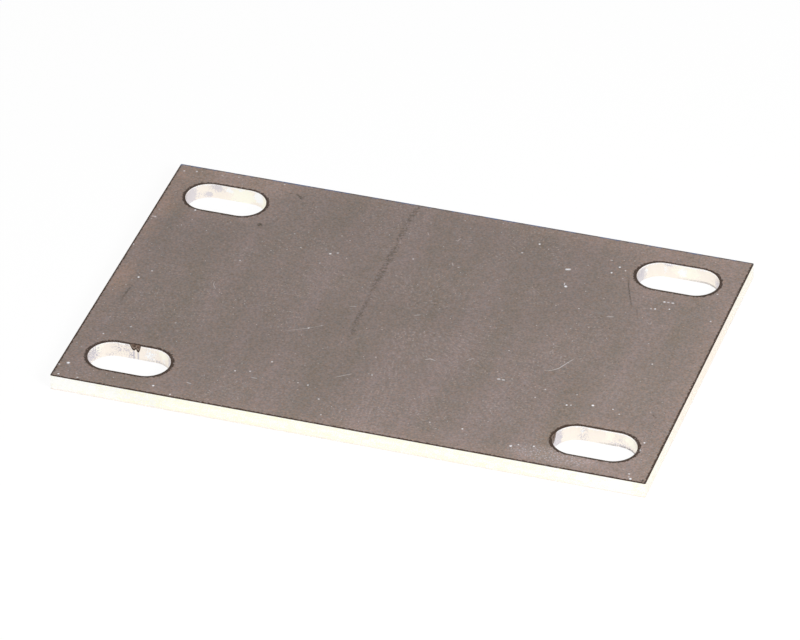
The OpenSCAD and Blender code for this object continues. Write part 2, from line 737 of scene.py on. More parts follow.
    def sweep(self, group: NodeGroup, path: CutPath) -> CutStrip:
        """Runs the tree for one path.

        Args:
            group: The tree.
            path: The path to sweep along.

        Returns:
            The edge's mesh as plain arrays, with its faces outward.
        """
        values = {
            "Length": path.length,
            "Width": path.width,
            "Corner radius": path.corner,
            "Thickness": self.thickness,
            "Edge break": self.edge_break,
            "Spacing": path.spacing,
            "Air side": path.air.value,
            "Drag depth": self.drag_depth,
            "Drag pitch": self.drag_pitch,
            "Drag lag": self.drag_lag,
            "Seed": path.seed * self.seed_step,
            "Centre": (*path.centre, 0.0),
            "Wall rows": path.wall_rows,
            "Arc steps": self.arc_steps,
            "Corner steps": self.corner_steps,
        }
        holder = bpy.data.objects.new(path.name, bpy.data.meshes.new(path.name))
        bpy.context.scene.collection.objects.link(holder)
        modifier = holder.modifiers.new("Cut edge", "NODES")
        modifier.node_group = group.tree
        for label, value in values.items():
            modifier[group.identifiers[label]] = value
        evaluated = holder.evaluated_get(bpy.context.evaluated_depsgraph_get())
        mesh = bpy.data.meshes.new_from_object(evaluated)
        holder.modifiers.remove(modifier)
        bpy.data.objects.remove(holder)
        strip = self._arrays(mesh, path)
        bpy.data.meshes.remove(mesh)
        return strip

    @staticmethod
    def _arrays(mesh: bpy.types.Mesh, path: CutPath) -> CutStrip:
        """Reads a swept mesh.

        Args:
            mesh: The mesh.
            path: The path that it follows.

        Returns:
            The mesh as plain arrays, with its faces outward.
        """
        count = len(mesh.vertices)
        points = np.zeros(count * 3)
        mesh.vertices.foreach_get("co", points)
        points = points.reshape(-1, 3)
        quads = np.zeros(len(mesh.loops), int)
        mesh.loops.foreach_get("vertex_index", quads)
        quads = quads.reshape(-1, 4)
        columns = {}
        for label in ("row", "down", "air", "cut_place"):
            stored = mesh.attributes[label]
            size, field = (3, "vector") if stored.data_type == "FLOAT_VECTOR" else (1, "value")
            values = np.zeros(count * size)
            stored.data.foreach_get(field, values)
            columns[label] = values.reshape(-1, size) if size > 1 else values
        corners = points[quads]
        facing = np.cross(corners[:, 2] - corners[:, 0], corners[:, 3] - corners[:, 1])
        if np.sum(facing * columns["air"][quads[:, 0]]) < 0.0:
            quads = quads[:, ::-1]
        row = np.rint(columns.pop("row")).astype(int)
        return CutStrip(path, points, quads, row, columns)


@dataclass(frozen=True)
class PlateMarks:
    """The wear in the plate's rolled faces: scratches, streaks, spots, chips and dust."""

    scratches: tuple[Scratch, ...] = (
        Scratch(((-32.1, -16.7), (-28.4, -14.5), (-25.5, -13.1), (-21.0, -9.8)), 0.50, 0.2),
        Scratch(((45.6, -13.0), (47.9, -12.3), (49.6, -10.8), (51.1, -7.5), (52.6, -4.7)), 0.45, 0.5),
        Scratch(((34.0, -21.1), (35.3, -20.8)), 0.85, 0.75),
        Scratch(((35.4, -20.9), (36.7, -21.0)), 0.90, 0.65),
        Scratch(((11.4, -18.2), (12.9, -17.2), (14.9, -17.7)), 0.40, 0.6),
        Scratch(((23.0, -15.2), (24.9, -13.1)), 0.40, 0.4),
        Scratch(((36.8, 37.7), (38.7, 38.3)), 1.2, 1.0),
        Scratch(((38.8, 31.4), (39.0, 29.7)), 0.45, 0.7),
        Scratch(((1.5, 42.8), (2.6, 42.5), (3.0, 44.4)), 0.45, 0.3),
        Scratch(((4.2, 31.5), (5.2, 29.5)), 0.45, 0.32),
        Scratch(((6.4, 29.2), (7.2, 29.8)), 0.45, 0.6),
        Scratch(((55.1, 18.1), (57.6, 18.8)), 0.80, 0.3),
        Scratch(((48.1, 46.1), (49.2, 46.4)), 0.60, 0.5),
        Scratch(((70.0, 30.3), (71.0, 30.4)), 0.75, 0.75),
        Scratch(((71.2, 30.4), (72.4, 30.5)), 0.80, 0.95),
        Scratch(((66.1, 25.7), (67.0, 25.9)), 0.60, 0.8),
        Scratch(((64.1, 25.3), (65.2, 25.6)), 0.45, 0.35),
        Scratch(((33.1, -6.9), (33.6, -6.3)), 0.50, 1.0),
        Scratch(((47.1, -26.8), (47.4, -26.2)), 0.65, 1.0),
        Scratch(((-50.4, -49.0), (-48.6, -49.2)), 0.55, 0.5),
        Scratch(((-59.2, 1.7), (-58.9, -0.2), (-57.4, -2.4)), 0.40, 0.32),
        Scratch(((-7.5, 44.6), (-6.5, 42.7)), 0.40, 0.25),
        Scratch(((-18.0, 1.0), (-15.2, 1.6)), 0.40, 0.35),
        Scratch(((-33.5, -41.2), (-31.3, -41.2)), 0.45, 0.5),
        Scratch(((-10.6, -34.1), (-6.1, -30.8)), 0.40, 0.4),
        Scratch(((66.8, 19.3), (68.5, 18.1), (68.7, 20.0)), 0.50, 0.2),
        Scratch(((50.9, 18.9), (53.3, 19.4)), 0.45, 0.15),
        Scratch(((1.6, 2.1), (3.9, 3.2)), 0.45, 0.4),
        Scratch(((-75.6, 55.2), (-74.2, 54.2)), 0.60, 0.3),
        Scratch(((-70.4, 55.6), (-69.6, 55.0)), 0.60, 0.5),
        Scratch(((-88.3, -54.3), (-87.6, -54.9), (-86.3, -55.0)), 0.45, 0.2),
        Scratch(((-88.2, 28.3), (-86.7, 28.2)), 0.70, 0.5),
        Scratch(((-88.0, 26.8), (-87.2, 26.9)), 0.60, 0.6),
        Scratch(((44.7, -4.3), (45.3, -2.6), (46.0, -4.6)), 0.40, 0.25),
    )
    streaks: tuple[Scratch, ...] = (
        Scratch(((-13.9, 56.7), (-14.4, 50.8), (-14.6, 45.9)), 2.0, 1.0, Mark.STREAK, 1.0, 0.004),
        Scratch(((-14.6, 47.6), (-14.3, 41.6), (-14.3, 36.0)), 2.2, 0.85, Mark.STREAK, 0.95, 0.004),
        Scratch(((-13.9, 37.2), (-13.8, 31.2), (-14.0, 23.4)), 2.8, 0.9, Mark.STREAK, 0.95, 0.004),
        Scratch(((-14.1, 25.4), (-13.8, 18.6), (-13.7, 9.0)), 2.8, 0.9, Mark.STREAK, 0.9, 0.004),
        Scratch(((-13.6, 10.2), (-13.2, -2.9), (-12.4, -16.5)), 2.4, 0.7, Mark.STREAK, 0.9, 0.004),
        Scratch(((-81.5, -7.0), (-82.0, -13.5), (-81.9, -17.0)), 1.1, 1.0, Mark.STAIN, 0.6, 0.004),
        Scratch(((55.9, 39.7), (56.9, 35.4), (58.4, 31.4), (61.0, 24.9)), 0.75, 1.0, Mark.STAIN, 1.0, 0.004),
        Scratch(((62.6, 24.6), (63.3, 22.4), (64.3, 19.8)), 0.65, 0.6, Mark.STAIN, 0.7, 0.004),
        Scratch(((-50.9, 52.0), (-48.3, 50.2)), 1.2, 1.0, Mark.STAIN, 0.9, 0.006),
        Scratch(((81.4, -24.6), (83.2, -26.2)), 0.90, 1.0, Mark.STAIN, 0.8, 0.004),
    )
    spots: tuple[Pit, ...] = (
        Pit((-56.0, 33.3), 1.2, 1.0, Mark.STAIN, 0.008),
        Pit((-52.4, 51.9), 0.60, 0.8, Mark.STAIN, 0.008),
        Pit((-48.7, 50.5), 1.3, 1.0, Mark.STAIN, 0.008),
        Pit((-88.2, -54.6), 0.50, 0.9, Mark.STAIN, 0.008),
        Pit((87.6, -56.0), 0.8, 1.0, Mark.STAIN, 0.008),
    )
    chips: tuple[Pit, ...] = (
        Pit((-25.4, -12.9), 0.42, 0.65),
        Pit((-22.2, -10.6), 0.34, 0.3),
        Pit((-31.3, 25.1), 0.50, 0.8),
        Pit((-29.3, 26.1), 0.40, 0.45),
        Pit((39.6, 29.4), 0.60),
        Pit((56.9, -27.4), 0.40),
        Pit((58.1, -27.1), 0.36, 0.65),
        Pit((64.1, -25.4), 0.52),
        Pit((70.1, -25.5), 0.32, 0.8),
        Pit((72.5, -27.3), 0.36, 0.45),
        Pit((53.8, -49.3), 0.36),
        Pit((49.4, -49.9), 0.32, 0.8),
        Pit((47.5, -51.1), 0.50),
        Pit((83.2, -38.5), 0.36),
        Pit((83.5, -55.4), 0.36, 0.3),
        Pit((-81.1, -3.0), 0.44),
        Pit((-78.4, 1.2), 0.34, 0.7),
        Pit((-85.9, -49.9), 0.64),
        Pit((-81.2, -33.2), 0.36, 0.6),
        Pit((-58.8, -53.4), 0.45),
        Pit((-74.8, -27.5), 0.36, 0.8),
        Pit((-38.8, -39.5), 0.36, 0.8),
        Pit((-34.6, -38.4), 0.36, 0.65),
        Pit((-30.1, -32.1), 0.40, 0.65),
        Pit((32.0, -47.3), 0.38, 0.9),
        Pit((22.2, -47.0), 0.32, 0.55),
        Pit((-8.5, -52.7), 0.36, 0.5),
        Pit((84.8, 24.8), 0.36, 0.6),
        Pit((26.0, 48.1), 0.42),
        Pit((22.4, 42.3), 0.45, 0.5),
        Pit((50.4, 40.1), 0.40),
        Pit((51.9, 43.6), 0.42),
        Pit((46.5, 19.7), 0.36, 0.5),
        Pit((74.6, -0.8), 0.32, 0.8),
        Pit((71.7, 27.2), 0.36, 0.8),
        Pit((67.7, 26.1), 0.40, 0.9),
        Pit((69.3, 30.3), 0.46, 0.8),
        Pit((-40.6, 25.6), 0.36, 0.4),
        Pit((-44.6, 31.9), 0.36, 0.3),
        Pit((-55.5, 13.9), 0.38, 0.5),
        Pit((-86.7, 53.8), 0.40, 0.6),
        Pit((-83.0, 54.6), 0.42, 0.65),
        Pit((-11.5, -45.6), 0.40, 0.6),
        Pit((-16.6, -40.0), 0.38, 0.7),
        Pit((-19.7, -39.7), 0.34, 0.5),
        Pit((-2.3, -21.1), 0.36, 0.35),
        Pit((-0.6, -29.8), 0.40, 0.5),
        Pit((-63.0, -21.8), 0.36, 0.3),
        Pit((-82.2, -24.6), 0.34, 0.2),
        Pit((-55.7, 55.7), 0.40, 0.5),
        Pit((48.9, -21.9), 0.36, 0.5),
        Pit((58.3, -21.7), 0.36, 0.4),
        Pit((54.0, 42.3), 0.34, 0.7),
        Pit((83.0, 38.6), 0.36, 0.5),
        Pit((-86.7, -55.9), 0.42, 0.8),
        Pit((-80.9, -56.0), 0.40, 0.5),
        Pit((-88.2, -51.3), 0.36, 0.6),
        Pit((-81.9, -36.1), 0.40, 0.2),
        Pit((-85.1, -41.1), 0.36, 0.15),
        Pit((-86.9, 28.2), 0.45, 0.6),
        Pit((-87.1, 32.3), 0.40, 0.3),
        Pit((-88.2, 12.7), 0.36, 0.6),
        Pit((-76.7, 35.0), 0.42),
        Pit((-52.8, -56.0), 0.36, 0.9),
        Pit((-30.9, 34.9), 0.36, 0.3),
        Pit((-7.2, 29.7), 0.36, 0.6),
        Pit((83.0, -42.2), 0.40, 0.55),
        Pit((83.2, -54.0), 0.45, 0.5),
        Pit((84.2, -56.2), 0.50, 1.0),
        Pit((84.6, -46.3), 0.36, 0.2),
        Pit((81.1, -52.4), 0.36, 0.2),
    )
    dust_count: int = 900
    dust_radius: Point = (0.14, 0.32)
    dust_strength: Point = (0.1, 0.4)
    dust_sides: int = 5
    dust_clearance: float = 1.5
    dark_share: float = 0.3
    dark_strength: Point = (0.4, 1.0)

    def placed(self) -> list[MarkPoint]:
        """Gives the points of every mark that has its own place."""
        marks = (*self.scratches, *self.streaks, *self.spots, *self.chips)
        return [point for mark in marks for point in mark.points()]

    def dust(self, plate: "MountingPlate", seed: int) -> list[MarkPoint]:
        """Scatters the finest chips and dark specks over a rolled face.

        Args:
            plate: The plate, which keeps them off its edges.
            seed: What fixes the scatter.

        Returns:
            The points.
        """
        draw = random.Random(seed)
        made: list[MarkPoint] = []
        for _ in range(self.dust_count):
            x = draw.uniform(-plate.length, plate.length) / 2
            y = draw.uniform(-plate.width, plate.width) / 2
            dark = draw.random() < self.dark_share
            kind = Mark.STAIN if dark else Mark.BARE
            strength = draw.uniform(*(self.dark_strength if dark else self.dust_strength))
            chip = Pit((x, y), draw.uniform(*self.dust_radius), strength, kind, sides=self.dust_sides)
            if plate.to_edge(x, y) > self.dust_clearance:
                made += chip.points()
        return made


@dataclass
class MountingPlate:
    """The plate: rolled faces, a cut outline and four cut slots, as one closed mesh."""

    length: float
    width: float
    thickness: float
    pitch: Point
    slot_radius: float
    slot_length: float
    edge_break: float = 0.12
    corner_radius: float = 0.4
    outline_spacing: float = 0.25
    outline_rows: int = 6
    slot_spacing: float = 0.2
    slot_rows: int = 10
    scarred_spacing: float = 0.13
    scarred_rows: int = 22
    # In each slot, the grey patches at the round ends are painted shade, and the white patches are painted
    # glints.
    slots: tuple[SlotLook, ...] = (
        SlotLook((-1.0, -1.0), 1.0, 0.4, (
            WallPatch(WallTone.GREY, (-12.0, 0.5), (1.5, 0.7), 0.7),
            WallPatch(WallTone.STIPPLE, (-11.9, 0.55), (1.5, 0.6), 0.9),
            WallPatch(WallTone.STIPPLE, (-10.8, 0.6), (0.8, 0.25), 0.6),
            WallPatch(WallTone.STIPPLE, (-7.8, 0.85), (1.6, 0.15), 0.7),
            WallPatch(WallTone.STIPPLE, (-4.6, 0.35), (3.0, 0.42)),
            WallPatch(WallTone.STIPPLE, (-1.9, 0.75), (1.6, 0.3), 0.9),
            WallPatch(WallTone.CREAM, (-10.9, 0.25), (1.6, 0.35), 0.6),
            WallPatch(WallTone.WHITE, (3.9, 0.55), (2.2, 0.5), 0.6),
            WallPatch(WallTone.STIPPLE, (4.2, 0.55), (2.6, 0.5), 0.3),
            WallPatch(WallTone.WHITE, (8.3, 0.7), (0.9, 0.3), 0.5),
            WallPatch(WallTone.GREY, (11.6, 0.5), (1.7, 0.8)),
            # Painted contact shade: the low grey patch along the foot.
            WallPatch(WallTone.GREY, (6.5, 0.88), (3.5, 0.16), 0.5),
            WallPatch(WallTone.CREAM, (8.5, 0.25), (2.5, 0.4), 0.7),
        )),
        SlotLook((1.0, -1.0), 1.0, 1.0, (
            WallPatch(WallTone.GREY, (-11.9, 0.5), (1.2, 0.9)),
            WallPatch(WallTone.STIPPLE, (-11.7, 0.5), (1.2, 0.8), 0.5),
            WallPatch(WallTone.STIPPLE, (-5.1, 0.4), (1.2, 0.5), 0.5),
            WallPatch(WallTone.STIPPLE, (-5.5, 0.8), (1.6, 0.25), 0.8),
            WallPatch(WallTone.WHITE, (-5.6, 0.3), (0.8, 0.3), 0.5),
            WallPatch(WallTone.CREAM, (2.3, 0.3), (1.6, 0.4), 0.6),
            WallPatch(WallTone.STIPPLE, (5.1, 0.65), (1.8, 0.4), 0.45),
            WallPatch(WallTone.CREAM, (9.2, 0.35), (2.8, 0.45), 0.7),
            # Painted contact shade: the low grey patch along the foot.
            WallPatch(WallTone.GREY, (6.0, 0.85), (5.0, 0.2), 0.55),
        )),
        SlotLook((-1.0, 1.0), 0.95, 0.0, (
            WallPatch(WallTone.GREY, (-11.9, 0.5), (1.4, 0.8)),
            WallPatch(WallTone.GREY, (-10.2, 0.7), (1.5, 0.35), 0.45),
            WallPatch(WallTone.GREY, (-7.7, 0.75), (1.5, 0.25), 0.9),
            WallPatch(WallTone.GREY, (-5.0, 0.25), (2.9, 0.36), 0.75),
            WallPatch(WallTone.WHITE, (-1.2, 0.3), (1.7, 0.22), 0.75),
            WallPatch(WallTone.WHITE, (2.2, 0.14), (0.9, 0.14), 0.75),
            WallPatch(WallTone.CREAM, (3.0, 0.55), (4.0, 0.6)),
            WallPatch(WallTone.WHITE, (8.3, 0.35), (2.0, 0.5)),
            WallPatch(WallTone.CREAM, (10.5, 0.6), (2.0, 0.6), 0.8),
        )),
        SlotLook((1.0, 1.0), 0.95, 0.7, (
            WallPatch(WallTone.GREY, (-11.9, 0.5), (1.3, 0.8), 0.9),
            WallPatch(WallTone.STIPPLE, (-12.0, 0.5), (0.5, 0.4), 0.7),
            WallPatch(WallTone.WHITE, (-10.8, 0.4), (0.5, 0.2), 0.7),
            WallPatch(WallTone.WHITE, (-5.7, 0.45), (1.4, 0.4), 0.45),
            WallPatch(WallTone.GREY, (-4.9, 0.12), (1.8, 0.16), 0.8),
            WallPatch(WallTone.CREAM, (0.6, 0.4), (4.2, 0.5), 0.9),
            WallPatch(WallTone.WHITE, (-0.6, 0.5), (1.8, 0.4), 0.8),
            WallPatch(WallTone.GREY, (11.2, 0.6), (1.7, 0.6), 0.8),
        )),
    )
    top_seed: int = 11
    under_seed: int = 23
    cut_margin: float = 1e-5
    marks: PlateMarks = PlateMarks()

    @classmethod
    def from_frame(cls, loaded: dict[str, Any]) -> "MountingPlate":
        """Takes the plate's sizes from the loaded frame.


        Returns:
            The plate.
        """
        low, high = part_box("mounting_plate")
        size = (high - low) / MM
        slots = next(m for m in loaded["record"]["mounts"] if m["name"] == "bolt_slots")["dims"]
        pitch = (slots["spacing_x_mm"], slots["spacing_y_mm"])
        return cls(size.x, size.y, size.z, pitch, slots["hole_r_mm"], slots["slot_length_mm"])

    @property
    def half_travel(self) -> float:
        """Half the distance between the centres of a slot's two round ends."""
        return self.slot_length / 2 - self.slot_radius

    def slot_centre(self, side: Point) -> Point:
        """The middle of the slot on the given sides of the plate."""
        return (side[0] * self.pitch[0] / 2, side[1] * self.pitch[1] / 2)

    def to_edge(self, x: float, y: float) -> float:
        """Works out how far a place on a rolled face is from the nearest cut edge.

        Args:
            x: The place along the plate.
            y: The place across the plate.

        Returns:
            The distance, below 0 in a slot.
        """
        to_outline = min(self.length / 2 - abs(x), self.width / 2 - abs(y))
        along = max(abs(abs(x) - self.pitch[0] / 2) - self.half_travel, 0.0)
        to_slot = math.hypot(along, abs(y) - self.pitch[1] / 2) - self.slot_radius
        return min(to_outline, to_slot)

    def scars(self) -> tuple[Scar, ...]:
        """Lists the scars where the cuts of the two front slots were started.

        Returns:
            The scars: one in a rear wall, one in a left end.
        """
        lobes = (ScarLobe(-1.1, 2.5, 1.7), ScarLobe(0.2, 1.9, 2.2))
        rear_wall = Scar((-1.0, -1.0), 0.0, 0.0, lobes, burn_tip=0.4)
        left_end = Scar((1.0, -1.0), QUARTER_TURN, self.half_travel, (ScarLobe(0.0, 3.9, 2.8, 0.35),), 0.10)
        return (rear_wall, left_end)

    def paths(self) -> list[CutPath]:
        """Lists the closed cuts: the outline first, then the slots.

        Returns:
            The cuts, with finer steps where a slot has a scar.
        """
        outline = CutPath(
            "outline",
            self.length,
            self.width,
            self.corner_radius,
            (0.0, 0.0),
            Side.OUTSIDE,
            self.outline_spacing,
            self.outline_rows,
            0,
        )
        made = [outline]
        scarred = [scar.slot_side for scar in self.scars()]
        for look in self.slots:
            spacing, rows = self.slot_spacing, self.slot_rows
            if look.side in scarred:
                spacing, rows = self.scarred_spacing, self.scarred_rows
            slot = CutPath(
                "slot",
                self.slot_length,
                2 * self.slot_radius,
                self.slot_radius,
                self.slot_centre(look.side),
                Side.INSIDE,
                spacing,
                rows,
                len(made),
                look,
            )
            made.append(slot)
        return made

    def build(self, cut: bpy.types.Material) -> bpy.types.Object:
        """Builds the plate's mesh.

        Args:
            cut: The finish of the cut edges.

        Returns:
            The plate, at the origin.
        """
        sweep = CutEdgeSweep(self.thickness, self.edge_break)
        group = sweep.tree(cut)
        strips = [sweep.sweep(group, path) for path in self.paths()]
        for strip in strips:
            self._start_columns(strip)
        for scar in self.scars():
            self._press_scar(scar, strips)
        return self._assemble(strips, sweep.arc_steps)

    @staticmethod
    def _start_columns(strip: CutStrip) -> None:
        """Gives a cut edge its columns: what its walls show, and empty ones for its scars and marks.

        Args:
            strip: The cut edge.
        """
        count = len(strip.points)
        air = strip.columns.pop("air")
        inside = strip.path.air is Side.INSIDE
        along = strip.points[:, 0] - strip.path.centre[0]
        past = along / strip.path.length * 2
        look = strip.path.look
        strip.columns["slot"] = np.full(count, float(inside))
        # The warm column is painted shade inside the slot.
        strip.columns["warm"] = np.full(count, look.warm)
        # The end column marks the outline's walls that face along X, which get painted shading.
        strip.columns["end"] = np.abs(air[:, 0]) * (not inside)
        # The next column is painted contact shade along the wall's foot, growing towards the slot's right
        # end.
        strip.columns["foot"] = np.clip(past + CONTACT_SHADE_START, 0.0, 1.0) * look.foot
        for label in ("burn", "soot", *(choice.value for choice in (*Mark, *WallTone))):
            strip.columns[label] = np.zeros(count)
        for patch in look.patches:
            shown = patch.cover(along, strip.columns["down"])
            strip.columns[patch.tone.value] = np.maximum(strip.columns[patch.tone.value], shown)

    def _press_scar(self, scar: Scar, strips: list[CutStrip]) -> None:
        """Presses a scar into the wall of its slot and marks where it is burnt.

        Args:
            scar: The scar.
            strips: The plate's cut edges.
        """
        centre = self.slot_centre(scar.slot_side)
        strip = next(s for s in strips if s.path.centre == centre)
        along, into = scar.local(strip.points, centre)
        below = self.thickness - strip.points[:, 2]
        facing = into > 0.0
        for lobe in scar.lobes:
            sag = 0.0
            if scar.turn:
                sag = self.slot_radius - math.sqrt(self.slot_radius**2 - (lobe.width / 2) ** 2)
            reach = lobe.reach(along, below, self.slot_radius, sag)
            push = np.where(facing, np.maximum(reach - into, 0.0), 0.0)
            strip.points[:, :2] += push[:, None] * np.array([-math.sin(scar.turn), math.cos(scar.turn)])
            tip = lobe.drop + scar.burn_tip
            seared = lobe.reach(along, below * lobe.drop / tip, self.slot_radius, sag)
            burnt = np.where(facing & (seared > 0.0), seared - into + scar.burn_margin, 0.0)
            into = into + push
            strip.columns["burn"] = np.maximum(strip.columns["burn"], burnt / lobe.depth)
            near = np.exp(-(((along - lobe.along) / scar.trail_width) ** 2)) * facing * (below > tip)
            strip.columns["soot"] = np.maximum(strip.columns["soot"], near)

    def _assemble(self, strips: list[CutStrip], arc_steps: int) -> bpy.types.Object:
        """Joins the cut edges and the rolled faces into one mesh.

        Args:
            strips: The plate's cut edges.
            arc_steps: How many rows the rounding of an edge has.

        Returns:
            The plate.
        """
        points = np.concatenate([strip.points for strip in strips])
        columns = {label: np.concatenate([s.columns[label] for s in strips]) for label in strips[0].columns}
        starts = np.cumsum([0] + [len(strip.points) for strip in strips])
        faces: list[list[int]] = []
        finishes: list[Finish] = []
        for strip, start in zip(strips, starts):
            faces += (strip.quads + start).tolist()
            rolled = strip.row[strip.quads].max(axis=1) <= arc_steps
            finishes += [Finish.MILL if mill else Finish.CUT for mill in rolled]
        smooth = [True] * len(faces)
        top_marks = self.marks.placed() + self.marks.dust(self, self.top_seed)
        under_marks = self.marks.dust(self, self.under_seed)
        for row, height, way, marks in (
            (0, self.thickness, -1.0, top_marks),
            (strips[0].row.max(), 0.0, 1.0, under_marks),
        ):
            rims = []
            for strip, start in zip(strips, starts):
                last = strip.row.max() if row else 0
                rims.append(strip.rim(last) + start)
            added = np.array([(m.x, m.y, height + way * m.drop) for m in marks])
            face = self._face(points, rims, added, len(points))
            faces += face if way < 0.0 else [triangle[::-1] for triangle in face]
            finishes += [Finish.MILL] * len(face)
            smooth += [False] * len(face)
            points = np.concatenate([points, added])
            for label, column in columns.items():
                extra = np.zeros((len(marks), *column.shape[1:]))
                if label in [mark.value for mark in Mark]:
                    extra = np.array([m.strength * (m.kind.value == label) for m in marks])
                columns[label] = np.concatenate([column, extra])
        return self._object(points, faces, finishes, smooth, columns)

    def _face(
        self, points: np.ndarray, rims: list[np.ndarray], added: np.ndarray, start: int
    ) -> list[list[int]]:
        """Fills a rolled face between its rims, through the points of its marks.

        Args:
            points: The points so far.
            rims: The rims' point numbers, the outline's first, counter-clockwise.
            added: The points of the marks.
            start: The number that the first mark point will get.

        Returns:
            The triangles, counter-clockwise seen from above.
        """
        numbers = np.concatenate([*rims, np.arange(start, start + len(added))])
        on_rims = [np.full(len(rim), number) for number, rim in enumerate(rims)]
        rim_of = np.concatenate([*on_rims, np.full(len(added), -1)])
        flat = np.concatenate([points[np.concatenate(rims), :2], added[:, :2]])
        edges = []
        first = 0
        for rim in rims:
            ring = np.arange(first, first + len(rim))
            edges += np.stack([ring, np.roll(ring, -1)], axis=1).tolist()
            first += len(rim)
        corners = [Vector(place) for place in flat]
        found = delaunay_2d_cdt(corners, edges, [], HULL_TRIANGLES, self.cut_margin, True)
        _, _, triangles, origins, _, _ = found
        source = np.array([origin[0] for origin in origins])
        triangles = source[np.array(triangles)]
        kept = triangles[self._on_plate(triangles, flat, rim_of)]
        return numbers[kept].tolist()

    @staticmethod
    def _on_plate(triangles: np.ndarray, flat: np.ndarray, rim_of: np.ndarray) -> np.ndarray:
        """Tells which triangles lie on the plate, and not in a slot or outside the outline.

        Args:
            triangles: The triangles.
            flat: Every point's place.
            rim_of: Which rim a point is on, or -1.

        Returns:
            Whether each triangle is kept.
        """
        rims = rim_of[triangles]
        one_rim = (rims[:, 0] >= 0) & (rims[:, 0] == rims[:, 1]) & (rims[:, 0] == rims[:, 2])
        a, b, c = (flat[corner] for corner in np.sort(triangles, axis=1).T)
        first, second = b - a, c - a
        area = first[:, 0] * second[:, 1] - first[:, 1] * second[:, 0]
        side = np.where(rims[:, 0] == 0, 1.0, -1.0)
        return ~one_rim | (area * side > 0.0)

    @staticmethod
    def _object(
        points: np.ndarray,
        faces: list[list[int]],
        finishes: list[Finish],
        smooth: list[bool],
        columns: dict[str, np.ndarray],
    ) -> bpy.types.Object:
        """Makes the object from plain arrays.

        Args:
            points: The points, in millimetres.
            faces: Each face's point numbers.
            finishes: Each face's finish.
            smooth: Whether each face is shaded smooth.
            columns: What is kept on each point, by name.

        Returns:
            The object.
        """
        mesh = bpy.data.meshes.new("cut_plate")
        mesh.from_pydata((points * MM).tolist(), [], faces)
        mesh.polygons.foreach_set("material_index", [finish.value for finish in finishes])
        mesh.polygons.foreach_set("use_smooth", smooth)
        for label, column in columns.items():
            kind, field = ("FLOAT_VECTOR", "vector") if column.ndim > 1 else ("FLOAT", "value")
            made = mesh.attributes.new(label, kind, "POINT")
            made.data.foreach_set(field, column.astype(np.float32).ravel())
        mesh.validate()
        mesh.update()
        piece = bpy.data.objects.new("cut_plate", mesh)
        bpy.context.scene.collection.objects.link(piece)
        return piece

    @staticmethod
    def dress(piece: bpy.types.Object, mill: bpy.types.Material, cut: bpy.types.Material) -> None:
        """Gives the plate its finishes, and its place in the frame.

        Args:
            piece: The plate.
            mill: The finish of the rolled faces.
            cut: The finish of the cut edges.
        """
        for finish in sorted(Finish, key=lambda choice: choice.value):
            piece.data.materials.append(mill if finish is Finish.MILL else cut)
        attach(piece, "root")
        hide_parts("mounting_plate")


@dataclass(frozen=True)
class RubbedAndLitPatch:
    """An oval of a rolled face that is lighter than the rest by a tone, with or without bright specks; small
    ones are rubbed wear, broad neutral ones are painted light.
    """

    place: Point
    half_size: Point
    tone: Triple
    specks: float = 0.0


